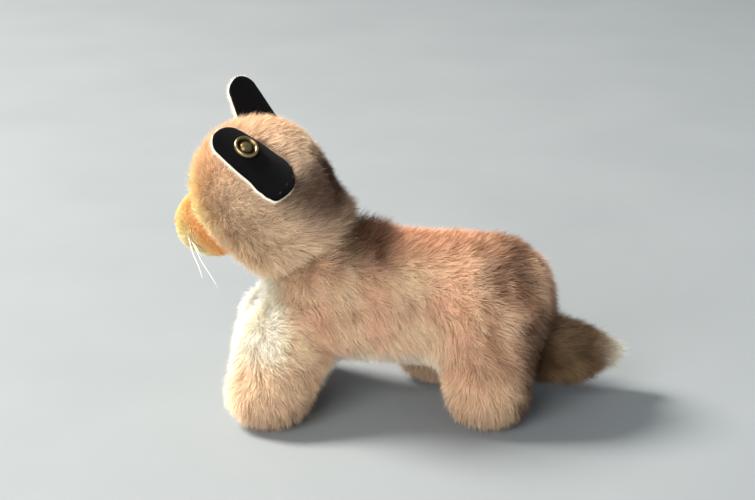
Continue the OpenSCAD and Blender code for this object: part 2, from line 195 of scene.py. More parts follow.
def tail_field(p):
    """Distance from the tail's surface."""
    q = TAIL.back(p)
    root = limb(q, [0, 0, 0], TAIL_MID, TAIL_ROOT_R, TAIL_MID_R)
    end = limb(q, TAIL_MID, TAIL_TIP, TAIL_MID_R, TAIL_TIP_R)
    return join(root, end, TAIL_BLEND)


def slope(field, p):
    """The outward direction of a field at each point."""
    h = 0.05
    g = np.stack([field(p + h * e) - field(p - h * e) for e in np.eye(3)], axis=1)
    return unit(g)


# ---------- Meshes ----------

def surface(field, lo, hi, step):
    """Quads over the zero of a field, one corner in each grid cell that it crosses."""
    axes = [np.arange(a, b + step, step) for a, b in zip(lo, hi)]
    grid = np.stack(np.meshgrid(*axes, indexing="ij"), axis=-1)
    v = field(grid.reshape(-1, 3)).reshape(grid.shape[:3])
    shape = np.array(v.shape)
    total, count = np.zeros((*(shape - 1), 3)), np.zeros(shape - 1)
    corner = [slice(0, -1), slice(1, None)]
    crossings = []
    for axis in range(3):
        others = [a for a in range(3) if a != axis]
        a = [slice(None)] * 3
        b = [slice(None)] * 3
        a[axis], b[axis] = slice(0, -1), slice(1, None)
        va, vb = v[tuple(a)], v[tuple(b)]
        hit = (va < 0) != (vb < 0)
        t = np.where(hit, va / np.where(hit, va - vb, 1), 0)
        at = grid[tuple(a)].copy()
        at[..., axis] += t * step
        for s0 in corner:
            for s1 in corner:
                pick = [slice(None)] * 3
                pick[others[0]], pick[others[1]] = s0, s1
                h = hit[tuple(pick)]
                total += np.where(h[..., None], at[tuple(pick)], 0)
                count += h
        crossings.append((axis, others, hit, va < 0))
    used = count > 0
    index = np.full(used.shape, -1)
    index[used] = np.arange(used.sum())
    verts = total[used] / count[used][:, None]
    quads = []
    for axis, others, hit, low_inside in crossings:
        inner = [slice(None)] * 3
        inner[others[0]], inner[others[1]] = slice(1, -1), slice(1, -1)
        where = np.argwhere(hit[tuple(inner)])
        inside = low_inside[tuple(inner)][tuple(where.T)]
        base = where.copy()
        base[:, others[0]] += 1
        base[:, others[1]] += 1
        ring = []
        for d0, d1 in ((-1, -1), (0, -1), (0, 0), (-1, 0)):
            c = base.copy()
            c[:, others[0]] += d0
            c[:, others[1]] += d1
            ring.append(index[tuple(c.T)])
        q = np.stack(ring, axis=1)
        flip = inside if axis == 1 else ~inside
        q[flip] = q[flip][:, ::-1]
        quads.append(q)
    quads = np.concatenate(quads)
    for _ in range(3):
        verts -= slope(field, verts) * field(verts)[:, None] * 0.8
    return verts, quads


def mesh_object(name, verts, loops, starts):
    """A smooth mesh from corner arrays, in millimetres."""
    mesh = bpy.data.meshes.new(name)
    mesh.vertices.add(len(verts))
    mesh.vertices.foreach_set("co", (np.asarray(verts) * MM).astype(np.float32).ravel())
    mesh.loops.add(len(loops))
    mesh.loops.foreach_set("vertex_index", np.asarray(loops, np.int32))
    mesh.polygons.add(len(starts))
    mesh.polygons.foreach_set("loop_start", np.asarray(starts, np.int32))
    mesh.update(calc_edges=True)
    mesh.polygons.foreach_set("use_smooth", np.full(len(starts), True))
    mesh.validate()
    obj = bpy.data.objects.new(name, mesh)
    bpy.context.scene.collection.objects.link(obj)
    return obj


def quad_object(name, verts, quads):
    """A mesh from an array of quads."""
    return mesh_object(name, verts, quads.ravel(), np.arange(len(quads)) * 4)


def face_object(name, verts, faces):
    """A mesh from a list of faces with any number of corners."""
    loops = [i for f in faces for i in f]
    starts = np.cumsum([0] + [len(f) for f in faces[:-1]])
    return mesh_object(name, verts, loops, starts)


def paint(obj, colours):
    """One colour for each corner point, which the coat materials read."""
    coat = obj.data.attributes.new("coat", "FLOAT_COLOR", "POINT")
    full = np.ones((len(colours), 4), np.float32)
    full[:, :3] = colours
    coat.data.foreach_set("color", full.ravel())


def finish_piece(obj, body, material, nodes=()):
    """The material, body and replaced nodes of a piece."""
    obj.data.materials.clear()
    obj.data.materials.append(material)
    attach(obj, body)
    if nodes:
        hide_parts(*nodes)


# ---------- Materials ----------

def material(name):
    """A new material with its nodes, links and shader."""
    m = bpy.data.materials.new(name)
    m.use_nodes = True
    nodes = m.node_tree.nodes
    shader = nodes["Principled BSDF"]
    return m, nodes, m.node_tree.links, shader


def coat_material(name, roughness=0.62, noise_mm=1.2, spread=0.16):
    """A material that shows the painted colour, with small uneven patches."""
    m, nodes, links, shader = material(name)
    coat = nodes.new("ShaderNodeAttribute")
    coat.attribute_name = "coat"
    place = nodes.new("ShaderNodeTexCoord")
    noise = nodes.new("ShaderNodeTexNoise")
    noise.inputs["Scale"].default_value = 1 / (noise_mm * MM)
    noise.inputs["Detail"].default_value = 3
    span = nodes.new("ShaderNodeMapRange")
    span.inputs["To Min"].default_value = 1 - spread
    span.inputs["To Max"].default_value = 1 + spread
    scale = nodes.new("ShaderNodeVectorMath")
    scale.operation = "SCALE"
    links.new(place.outputs["Object"], noise.inputs["Vector"])
    links.new(noise.outputs["Fac"], span.inputs["Value"])
    links.new(coat.outputs["Color"], scale.inputs[0])
    links.new(span.outputs["Result"], scale.inputs["Scale"])
    links.new(scale.outputs["Vector"], shader.inputs["Base Color"])
    shader.inputs["Roughness"].default_value = roughness
    shader.inputs["Specular IOR Level"].default_value = 0.3
    return m


def two_tone(name, low, high, size_mm, roughness, metallic=0.0, bump=0.0, wave=False, sheen=0.0,
             stretch=(1, 1, 1)):
    """Two colours mixed by noise or by a banded wave, with a bump from the same pattern."""
    m, nodes, links, shader = material(name)
    place = nodes.new("ShaderNodeTexCoord")
    mapping = nodes.new("ShaderNodeMapping")
    mapping.inputs["Scale"].default_value = stretch
    links.new(place.outputs["Object"], mapping.inputs["Vector"])
    if wave:
        pattern = nodes.new("ShaderNodeTexWave")
        pattern.bands_direction = "DIAGONAL"
        pattern.inputs["Scale"].default_value = 0.3 / (size_mm * MM)
        pattern.inputs["Distortion"].default_value = 2
    else:
        pattern = nodes.new("ShaderNodeTexNoise")
        pattern.inputs["Scale"].default_value = 1 / (size_mm * MM)
        pattern.inputs["Detail"].default_value = 5
    tones = nodes.new("ShaderNodeValToRGB")
    tones.color_ramp.elements[0].position = 0.3
    tones.color_ramp.elements[1].position = 0.7
    tones.color_ramp.elements[0].color = (*low, 1)
    tones.color_ramp.elements[1].color = (*high, 1)
    links.new(mapping.outputs["Vector"], pattern.inputs["Vector"])
    links.new(pattern.outputs["Fac"], tones.inputs["Fac"])
    links.new(tones.outputs["Color"], shader.inputs["Base Color"])
    if bump:
        relief = nodes.new("ShaderNodeBump")
        relief.inputs["Strength"].default_value = 0.6
        relief.inputs["Distance"].default_value = bump * MM
        links.new(pattern.outputs["Fac"], relief.inputs["Height"])
        links.new(relief.outputs["Normal"], shader.inputs["Normal"])
    shader.inputs["Roughness"].default_value = roughness
    shader.inputs["Metallic"].default_value = metallic
    shader.inputs["Sheen Weight"].default_value = sheen
    return m


FUR = coat_material("plush_pile")
BACKING = coat_material("plush_backing", roughness=0.9, noise_mm=0.6, spread=0.3)
SHEARED = coat_material("sheared_pile", roughness=0.75, noise_mm=0.8, spread=0.12)
LINING = coat_material("lining_pile", roughness=0.8, noise_mm=0.7, spread=0.06)
VELVET = two_tone("black_velvet", srgb(4, 3, 5), srgb(13, 11, 14), 0.35, 1.0, bump=0.12, sheen=0.04)
VELVET.node_tree.nodes["Principled BSDF"].inputs["Specular IOR Level"].default_value = 0.12
THREAD = two_tone("cotton_thread", srgb(186, 152, 108), srgb(232, 206, 164), 0.25, 0.8, bump=0.05, wave=True)
WHISKER = two_tone("white_thread", srgb(222, 218, 208), srgb(250, 248, 242), 0.3, 0.6, bump=0.02, wave=True)
NOSE = two_tone("nose_thread", srgb(206, 132, 128), srgb(240, 176, 170), 0.3, 0.6, bump=0.03, sheen=0.2)
MOUTH = two_tone("mouth_thread", srgb(130, 62, 52), srgb(178, 98, 82), 0.3, 0.65, bump=0.03)
EAR_THREAD = two_tone("black_thread", srgb(14, 12, 13), srgb(40, 36, 36), 0.25, 0.85, bump=0.05, wave=True)
BRASS = coat_material("worn_brass", roughness=0.34, noise_mm=0.9, spread=0.3)
BRASS.node_tree.nodes["Principled BSDF"].inputs["Metallic"].default_value = 0.9
STEEL = two_tone("drawn_steel", srgb(130, 130, 132), srgb(190, 190, 192), 0.8, 0.35, metallic=1.0, bump=0.01)
BOARD = two_tone("fibreboard", srgb(92, 62, 38), srgb(140, 100, 64), 0.5, 0.85, bump=0.06)
WOOL = two_tone("wood_wool", srgb(178, 148, 98), srgb(232, 208, 158), 0.9, 0.85, bump=0.25,
                stretch=(1, 1, 0.3))


# ---------- Colours of the coat ----------

CREAM, WHITE = srgb(253, 241, 214), srgb(254, 247, 228)
BEIGE, ROSE = srgb(243, 212, 178), srgb(238, 196, 164)
TAN, BROWN, DARK = srgb(250, 214, 176), srgb(166, 118, 84), srgb(92, 58, 38)
PEACH, GREY = srgb(255, 222, 172), srgb(232, 222, 206)


def body_colour(p):
    """Colour of the body's coat at each point."""
    x, y, z = p.T
    tone = mix(BEIGE, ROSE, 0.5 + 0.5 * wave_noise(p, 14, 3))
    tone = mix(tone, BROWN, 0.34 * ramp(wave_noise(p, 9, 4), 0.1, 0.9))
    # Browner haunch: partly the coat's own brown streaks, partly painted shade.
    haunch_brown_and_shade = ramp(y, 8, 26) * ramp(z, 6, 18)
    tone = mix(tone, BROWN, haunch_brown_and_shade * (0.4 + 0.32 * wave_noise(p, 7, 5)).clip(0, 1))
    back = ramp(z, 36, 44) * ramp(y, -14, -4)
    tone = mix(tone, srgb(196, 138, 100), 0.8 * back)
    # Painted shade: dark brown in the crease between the haunch and the rump.
    rump_crease_shade = 0.85 * ramp(y, 15, 25) * ramp(z, 29, 37) * ramp(-y, -36, -30)
    tone = mix(tone, DARK, rump_crease_shade * (0.7 + 0.5 * wave_noise(p, 5, 12)).clip(0, 1))
    legs = ramp(-z, -18, -8)
    tone = mix(tone, TAN, 0.75 * legs)
    belly = ramp(-z, -21, -15) * ramp(z, 8, 11) * ramp(15 - np.abs(x), 0, 4)
    tone = mix(tone, GREY, 0.85 * belly)
    chest = ramp(-y, 25, 31) * ramp(z, 14, 22)
    tone = mix(tone, WHITE, 0.9 * chest)
    toes = ramp(-y, 35, 42)
    tone = mix(tone, CREAM, 0.6 * toes)
    # Dark brown at the nape: partly the fur's own colour, partly painted shade in the crease under the head.
    nape_fur_and_shade = ramp(z, 36, 43) * ramp(-np.abs(y + 9), -9, -4)
    tone = mix(tone, DARK, 0.92 * nape_fur_and_shade)
    # Painted shade: dark brown down the back of the hind legs.
    hind_leg_shade = 0.9 * ramp(y, 25, 31) * ramp(-z, -34, -24)
    tone = mix(tone, srgb(92, 66, 46), hind_leg_shade)
    shaded_feet = 0.42 * ramp(-z, -14, -4) * ramp(y, -40, -34)
    return tone * (1 - shaded_feet)[:, None]


def head_colour(p):
    """Colour of the head's coat at each point."""
    q = HEAD.back(p)
    middle = np.array([0, -1.5, 16.0])
    u = unit(q - middle)
    front, up = -u[:, 1], u[:, 2]
    tone = mix(srgb(228, 200, 170), srgb(242, 212, 180), 0.5 + 0.5 * wave_noise(p, 8, 6))
    tone = mix(tone, srgb(240, 202, 168), 0.8 * ramp(up, 0.35, 0.85))
    tone = mix(tone, PEACH, ramp(front, 0.25, 0.75) * ramp(up, -0.15, 0.3))
    tone = mix(tone, srgb(246, 222, 190), 0.55 * ramp(front, 0.5, 0.9) * ramp(-up, -0.05, 0.3))
    tone = mix(tone, srgb(246, 214, 180), 0.4 * ramp(-up, 0.1, 0.6))
    # Dark brown at the nape: partly the fur's own colour, partly painted shade where the head meets the body.
    nape_fur_and_shade = ramp(-front, 0.45, 0.9) * ramp(-up, -0.45, 0.1)
    return mix(tone, DARK * 0.8, 0.92 * nape_fur_and_shade)


def muzzle_colour(p):
    """Colour of the muzzle's pile at each point."""
    q = HEAD.back(p) - np.array(SNOUT)
    u = unit(q)
    tone = mix(srgb(255, 222, 168), srgb(255, 230, 186), 0.5 + 0.5 * wave_noise(p, 4, 8))
    tone = mix(tone, srgb(255, 182, 100), 0.85 * ramp(u[:, 1], -0.35, 0.3))
    flecks = 0.45 * ramp(u[:, 1], -0.2, 0.4) * ramp(wave_noise(p, 1.6, 9), 0.3, 0.9)
    tone = mix(tone, srgb(214, 112, 62), flecks)
    lip = ramp(-u[:, 2], 0.35, 0.75) * ramp(-u[:, 1], 0.1, 0.5)
    return mix(tone, srgb(254, 244, 222), 0.8 * lip)


def tail_colour(p):
    """Colour of the tail's coat at each point."""
    q = TAIL.back(p)
    # Olive brown, partly the tail's own colour and partly painted shade that darkens it.
    tone = mix(srgb(92, 70, 46), srgb(128, 102, 72), 0.5 + 0.5 * wave_noise(p, 6, 10))
    tone = mix(tone, srgb(226, 214, 194), 0.85 * ramp(q[:, 1], 9, 16))
    return mix(tone, srgb(176, 148, 114), 0.5 * ramp(q[:, 2], 2, 8))


# ---------- Fur ----------

def sample(verts, quads, count, rng):
    """Random points over a quad mesh."""
    tris = np.concatenate([quads[:, [0, 1, 2]], quads[:, [0, 2, 3]]])
    a, b, c = verts[tris[:, 0]], verts[tris[:, 1]], verts[tris[:, 2]]
    area = np.linalg.norm(np.cross(b - a, c - a), axis=1)
    pick = rng.choice(len(tris), size=count, p=area / area.sum())
    u, v = rng.random(count), rng.random(count)
    flip = u + v > 1
    u[flip], v[flip] = 1 - u[flip], 1 - v[flip]
    return a[pick] + u[:, None] * (b - a)[pick] + v[:, None] * (c - a)[pick]


# The shares of a hair's length at which it has a point.
STEPS = np.array([0, 0.36, 0.7, 1])
HAIRS_A_CLUMP = 16


def strands(roots, normals, comb, length, lean, colours, rng, clump=0.28, stray=0.32,
            swirl=0.45, width=0.078, curl=0.3, tip_gain=1.16, root_shade_gain=0.72, floor=0.12):
    """Centre lines of hairs, and what each needs to become a ribbon."""
    n = len(roots)
    comb = unit(comb - normals * np.sum(comb * normals, axis=1)[:, None])
    side = np.cross(normals, comb)
    angle = swirl * wave_noise(roots, 5.5, 21) + 0.5 * swirl * wave_noise(roots, 2.6, 22)
    way = comb * np.cos(angle)[:, None] + side * np.sin(angle)[:, None]
    tilt = lean + 0.22 * wave_noise(roots, 3.4, 23)
    aim = normals * np.cos(tilt)[:, None] + way * np.sin(tilt)[:, None]
    aim = unit(aim + rng.normal(size=(n, 3)) * stray)
    bend = way * curl + rng.normal(size=(n, 3)) * 0.12
    bend[:, 2] -= 0.06
    long = length * rng.uniform(0.72, 1.12, n) * (1 + 0.12 * wave_noise(roots, 3.1, 24))
    t = STEPS[None, :, None]
    line = roots[:, None] + long[:, None, None] * (aim[:, None] * t + bend[:, None] * t * t)
    if clump > 0:
        count = max(int(n / HAIRS_A_CLUMP), 1)
        heads = rng.choice(n, count, replace=False)
        tree = kdtree.KDTree(count)
        for i, h in enumerate(heads):
            tree.insert(roots[h], i)
        tree.balance()
        near = np.array([heads[tree.find(r)[1]] for r in roots])
        pull = clump * rng.uniform(0.3, 1, n)[:, None, None] * t ** 1.6
        line = line + (line[near] - line) * pull
    line[:, :, 2] = np.maximum(line[:, :, 2], floor + 0.15 * rng.random(n)[:, None])
    tone = rng.normal(1, 0.1, n)[:, None, None]
    # Painted shade: each hair is darker towards its root, as shade deep in the pile. It is lighter at its
    # tip, partly the pile's own pale tips and partly painted light.
    tip = np.clip(colours * tip_gain + 0.015, 0, 0.95)
    shade = colours[:, None] * (root_shade_gain + (1 - root_shade_gain) * np.minimum(t / 0.6, 1))
    shade = shade * (1 - t ** 2) + tip[:, None] * t ** 2
    return {
        "line": line, "normal": normals, "colour": np.clip(shade * tone, 0.002, 0.97),
        "width": width * rng.uniform(0.7, 1.2, n), "tilt": rng.normal(0, 0.7, n),
    }


# The ribbon's width at all points but the last, where it ends in a tip.
TAPER = np.array([1.0, 0.9, 0.6])
HAIRS_A_PIECE = 39000


def hair_object(name, hairs, keep):
    """Ribbons for the chosen hairs, each in its own cell of the OFBake map."""
    line, n = hairs["line"][keep], int(keep.sum())
    normal, width, tilt = hairs["normal"][keep], hairs["width"][keep], hairs["tilt"][keep]
    ways = unit(np.gradient(line, axis=1))
    across = unit(np.cross(ways, normal[:, None]))
    up = np.cross(across, ways)
    across = across * np.cos(tilt)[:, None, None] + up * np.sin(tilt)[:, None, None]
    half = (width[:, None] * TAPER[None] / 2)[..., None]
    left, right = line[:, :3] - across[:, :3] * half, line[:, :3] + across[:, :3] * half
    verts = np.empty((n, 7, 3))
    verts[:, 0:6:2], verts[:, 1:6:2], verts[:, 6] = left, right, line[:, 3]
    colour = np.empty((n, 7, 3))
    colour[:, 0:6:2] = colour[:, 1:6:2] = hairs["colour"][keep][:, :3]
    colour[:, 6] = hairs["colour"][keep][:, 3]
    corners = np.array([0, 1, 3, 2, 2, 3, 5, 4, 4, 5, 6])
    loops = (np.arange(n)[:, None] * 7 + corners).ravel()
    starts = (np.arange(n)[:, None] * 11 + np.array([0, 4, 8])).ravel()
    obj = mesh_object(name, verts.reshape(-1, 3), loops, starts)
    paint(obj, colour.reshape(-1, 3))
    grid = math.ceil(math.sqrt(n))
    cell = np.stack([np.arange(n) % grid, np.arange(n) // grid], axis=1)[:, None]
    spots = np.array([[0.15, 0.12], [0.85, 0.12], [0.15, 0.38], [0.85, 0.38], [0.15, 0.64],
                      [0.85, 0.64], [0.5, 0.88]])
    uv = ((cell + spots[corners]) / grid).reshape(-1, 2)
    layer = obj.data.uv_layers.new(name="OFBake")
    layer.data.foreach_set("uv", uv.astype(np.float32).ravel())
    return obj


def hair_pieces(name, hairs, keep, body, material=FUR):
    """As many objects as the hairs need."""
    where = np.flatnonzero(keep)
    parts = max(math.ceil(len(where) / HAIRS_A_PIECE), 1)
    order = where[np.argsort(hairs["line"][where, 0, 1], kind="stable")]
    for i, part in enumerate(np.array_split(order, parts)):
        chosen = np.zeros(len(keep), bool)
        chosen[part] = True
        obj = hair_object(f"{name}_{i + 1}" if parts > 1 else name, hairs, chosen)
        finish_piece(obj, body, material)


SHARE = 1.0
BODY_HAIRS, HEAD_HAIRS, MUZZLE_HAIRS, TAIL_HAIRS, EAR_HAIRS = 215000, 90000, 44000, 30000, 5200
SKIN_DEPTH, MUZZLE_SKIN_DEPTH = 2.2, 0.7

# ---------- Body ----------

verts, quads = surface(lambda p: body_field(p, SKIN_DEPTH), [-28, -46, -3], [28, 44, 50], 0.9)
skin = quad_object("body_plush_backing", verts, quads)
# Painted shade: the backing takes the coat's colour at 0.6, as shade deep in the pile.
paint(skin, body_colour(verts) * 0.6)
finish_piece(skin, "body", BACKING,
             ["left_body_panel", "right_body_panel", "belly_gusset"])

rng = np.random.default_rng(11)
roots = sample(verts, quads, int(BODY_HAIRS * SHARE), rng)
normals = slope(lambda p: body_field(p, SKIN_DEPTH), roots)
at_neck = (normals @ NECK_WAY > 0.75) & (head_field(roots) < 0.8)
at_tail = tail_field(roots) < -1.6
underfoot = (roots[:, 2] < 2.4) & (slope(body_field, roots)[:, 2] < -0.9)
hidden = at_neck | at_tail | underfoot
roots, normals = roots[~hidden], normals[~hidden]
x, y, z = roots.T
low = ramp(-z, -20, -10)
comb = np.stack([0 * x, 0.75 - 0.6 * low, -0.55 - 0.4 * low], axis=1)
comb[:, 2] -= 0.6 * ramp(-y, 30, 38)
neck_side = ramp(z, 38, 44) * ramp(-y, -2, 8)
collar = ramp(z, 40, 45) * ramp(-np.abs(y + 10), -8, -3)
length = 3.3 - 0.1 * low + 0.3 * ramp(y, 24, 36) + 1.1 * neck_side + 3.2 * collar
lean = 0.62 + 0.1 * low - 0.2 * ramp(-z, -6, -2)
lean -= 0.25 * neck_side + 0.3 * collar
hairs = strands(roots, normals, comb, length, lean, body_colour(roots), rng)
centre = (np.abs(x) < 14.5) & (z < 17.8)
hair_pieces("left_body_pile", hairs, (x >= 0) & ~centre, "body")
hair_pieces("right_body_pile", hairs, (x < 0) & ~centre, "body")
hair_pieces("belly_pile", hairs, centre, "body")

# ---------- Ears: their places ----------

EARS = {
    "left": HEAD.then([12.6, 14.3, 18.4], turn("z", -22) @ turn("x", 26) @ turn("y", 9)),
    "right": HEAD.then([-14.1, -0.6, 20.4], turn("z", -19) @ turn("x", 11) @ turn("y", -12)),
}
EAR_LOW_R, EAR_TIP_R, EAR_L, EAR_DEPTH, CUP_R = 6.3, 3.7, 22.4, 2.2, 14


def ear_width(z):
    """Half the width of an ear at a height above its base."""
    top = EAR_L - EAR_TIP_R
    share = np.clip((z - EAR_LOW_R) / (top - EAR_LOW_R), 0, 1)
    straight = EAR_LOW_R + (EAR_TIP_R - EAR_LOW_R) * share
    low = np.sqrt(np.clip(EAR_LOW_R ** 2 - (z - EAR_LOW_R) ** 2, 0, None))
    high = np.sqrt(np.clip(EAR_TIP_R ** 2 - (z - top) ** 2, 0, None))
    return np.where(z < EAR_LOW_R, low, np.where(z > top, high, straight))


def ear_edge(x, z, side):
    """Sideways places on an ear, with the left one fuller above and both a little wider at the top."""
    upper = np.interp(z, [1, 3, 8, 13, 18, 22], [0.9, 1.02, 1.15, 1.4, 1.52, 1.4])
    lower = np.interp(z, [1, 2.5, 5, 9, 13, 18], [1.28, 1.0, 0.84, 0.82, 0.92, 1.0])
    both = np.interp(z, [0, 6, 13, 19, 22], [1, 1, 1.08, 1.15, 1.1])
    return x * (both if side == "right" else np.where(x < 0, upper, lower))


def near_ear(p, grow, back=2.0):
    """True for points in the space of an ear, grown on every side and reaching back from it."""
    found = np.zeros(len(p), bool)
    for side, place in EARS.items():
        q = place.back(p)
        z = np.clip(q[:, 2], 0, EAR_L)
        edge = np.abs(ear_edge(np.sign(q[:, 0]) * ear_width(z), z, side))
        inside = (np.abs(q[:, 0]) < edge + grow) & (q[:, 2] > -grow) & (q[:, 2] < EAR_L + grow)
        y = CUP_R - np.sqrt(np.clip(CUP_R ** 2 - q[:, 0] ** 2, 1, None))
        found |= inside & (q[:, 1] > -y - EAR_DEPTH - grow) & (q[:, 1] < back + 3 * grow)
    return found


# ---------- Eyes: their places ----------

EYE_YAW, EYE_PITCH, EYE_OUT, EYE_R = 19, -9, 15.7, 2.48
EYES = {
    side: HEAD.then(SKULL, turn("z", EYE_YAW * side) @ turn("x", EYE_PITCH)).then([0, -EYE_OUT, 0], np.eye(3))
    for side in (1, -1)
}

# ---------- Head ----------

verts, quads = surface(lambda p: head_field(p, SKIN_DEPTH), [-24, -50, 36], [24, -2, 84], 0.9)
skin = quad_object("head_plush_backing", verts, quads)
# Painted shade: the backing takes the coat's colour at 0.6, as shade deep in the pile.
paint(skin, head_colour(verts) * 0.6)
finish_piece(skin, "head", BACKING,
             ["left_head_panel", "right_head_panel", "crown_panel"])

rng = np.random.default_rng(12)
roots = sample(verts, quads, int(HEAD_HAIRS * SHARE), rng)
normals = slope(lambda p: head_field(p, SKIN_DEPTH), roots)
q = HEAD.back(roots)
hidden = (muzzle_field(roots) < 0.3) | (q[:, 2] < 1.2) & (normals @ NECK_WAY < -0.75)
hidden |= near_ear(roots, 0.2, 0.2)
for eye in EYES.values():
    hidden |= np.linalg.norm(eye.back(roots + 1.6 * normals), axis=1) < 2.8
roots, normals, q = roots[~hidden], normals[~hidden], q[~hidden]
comb = HEAD.way(unit(q - np.array(SNOUT)) + np.array([0, 0.2, 0.0]))
away = muzzle_field(roots)
scruff = ramp(q[:, 1], 5, 12) * ramp(-q[:, 2], -11, -4)
length = 3.1 - 0.7 * ramp(-away, -5, 0) + 2.4 * scruff + 1.0 * ramp(-q[:, 2], -8, -1)
hairs = strands(roots, normals, comb, length, 0.66 - 0.28 * scruff, head_colour(roots), rng, swirl=0.35)
tips = hairs["line"][:, 3]
clear = ~near_ear(tips, 0.0) & ~near_ear(hairs["line"][:, 2], 0.0)
crown = (np.abs(q[:, 0]) < 5.5) & (q[:, 2] > 13)
hair_pieces("left_head_pile", hairs, clear & ~crown & (q[:, 0] >= 0), "head")
hair_pieces("right_head_pile", hairs, clear & ~crown & (q[:, 0] < 0), "head")
hair_pieces("crown_pile", hairs, clear & crown, "head")

# ---------- Muzzle ----------

verts, quads = surface(lambda p: muzzle_field(p) + MUZZLE_SKIN_DEPTH, [-22, -60, 30], [8, -30, 60], 0.6)
skin = quad_object("muzzle_backing", verts, quads)
# Painted shade: the backing takes the muzzle's colour at 0.7, as shade deep in the pile.
paint(skin, muzzle_colour(verts) * 0.7)
finish_piece(skin, "head", BACKING, ["muzzle_cover"])

rng = np.random.default_rng(13)
roots = sample(verts, quads, int(MUZZLE_HAIRS * SHARE), rng)
normals = slope(muzzle_field, roots)
hidden = head_field(roots) < -1.4
roots, normals = roots[~hidden], normals[~hidden]
comb = HEAD.way(np.tile([0, 1.0, -0.3], (len(roots), 1)))
down = -unit(HEAD.back(roots) - np.array(SNOUT))[:, 2]
length = 1.05 + 0.5 * ramp(down, 0.4, 0.8)
hairs = strands(roots, normals, comb, length, 0.45 * np.ones(len(roots)), muzzle_colour(roots), rng,
                clump=0.2, stray=0.35, width=0.09, tip_gain=1.1, root_shade_gain=1.0)
hair_pieces("muzzle_pile", hairs, np.ones(len(roots), bool), "head", SHEARED)

# ---------- Tail ----------

verts, quads = surface(lambda p: tail_field(p) + SKIN_DEPTH, [-16, 26, 2], [16, 60, 26], 0.7)
skin = quad_object("tail_plush_backing", verts, quads)
# Painted shade: the backing takes the tail's colour at 0.45, as shade deep in the pile.
paint(skin, tail_colour(verts) * 0.45)
finish_piece(skin, "tail", BACKING, ["tail_skin"])

rng = np.random.default_rng(14)
roots = sample(verts, quads, int(TAIL_HAIRS * SHARE), rng)
normals = slope(tail_field, roots)
hidden = body_field(roots) < -1.0
roots, normals = roots[~hidden], normals[~hidden]
q = TAIL.back(roots)
comb = TAIL.way(np.tile([0, 1.0, -0.1], (len(roots), 1)))
tone = tail_colour(roots) * (1 + 0.35 * wave_noise(roots, 2.2, 31))[:, None]
on_top = ramp(q[:, 2], 3, 8)
length = 3.8 + 1.3 * ramp(q[:, 1], 6, 16) + 1.4 * on_top
hairs = strands(roots, normals, comb, length, 0.7 - 0.25 * on_top, tone, rng, stray=0.36, clump=0.4,
                tip_gain=1.5)
hair_pieces("tail_pile", hairs, np.ones(len(roots), bool), "tail")


# ---------- Ears ----------

def ear_sheet(name, side, place, top, bottom, grow, rings=14, around=96, ripple=0.0):
    """A closed cupped sheet with a rounded edge, between two depths below the back of the ear."""
    angle = np.linspace(0, 2 * math.pi, around, endpoint=False)
    low_c, top_c = EAR_LOW_R, EAR_L - EAR_TIP_R
    spread = np.sin(angle)
    centre = low_c + (top_c - low_c) * (0.5 + spread).clip(0, 1)
    r = EAR_LOW_R + (EAR_TIP_R - EAR_LOW_R) * (centre - low_c) / (top_c - low_c)
    ends = np.where(spread >= 0.5, 1, np.where(spread <= -0.5, -1, 0))
    round_tip = (angle - math.pi / 6) * 1.5
    round_base = math.pi + (angle - 7 * math.pi / 6) * 1.5
    straight = np.where(np.cos(angle) > 0, 0, math.pi)
    turned = np.where(ends == 0, straight, np.where(ends > 0, round_tip, round_base))
    out_x, out_z = np.cos(turned) * (r + grow), centre + np.sin(turned) * (r + grow)
    verts, faces = [], []
    half = (bottom - top) / 2
    levels = [(k / rings, 1) for k in range(rings + 1)]
    levels += [(k / rings, -1) for k in range(rings - 1, -1, -1)]
    for share, face in levels:
        q = 1 - (1 - share) ** 1.6
        z = centre + (out_z - centre) * q
        x = ear_edge(out_x * q, z, side)
        roll = math.sqrt(max(0.0, 1 - max(0.0, (q - 0.86) / 0.14) ** 2))
        cup = np.sqrt(np.clip((CUP_R - (top + bottom) / 2) ** 2 - x ** 2, 1, None)) - CUP_R
        wobble = ripple * np.sin(angle * 5 + 1.3) * q ** 2
        y = cup + face * half * roll + wobble
        verts.append(np.stack([x, y, z], axis=1))
    verts = np.concatenate(verts)
    for k in range(len(levels) - 1):
        for i in range(around):
            j = (i + 1) % around
            faces.append((k * around + i, k * around + j, (k + 1) * around + j, (k + 1) * around + i))
    return face_object(name, place.out(verts), faces)


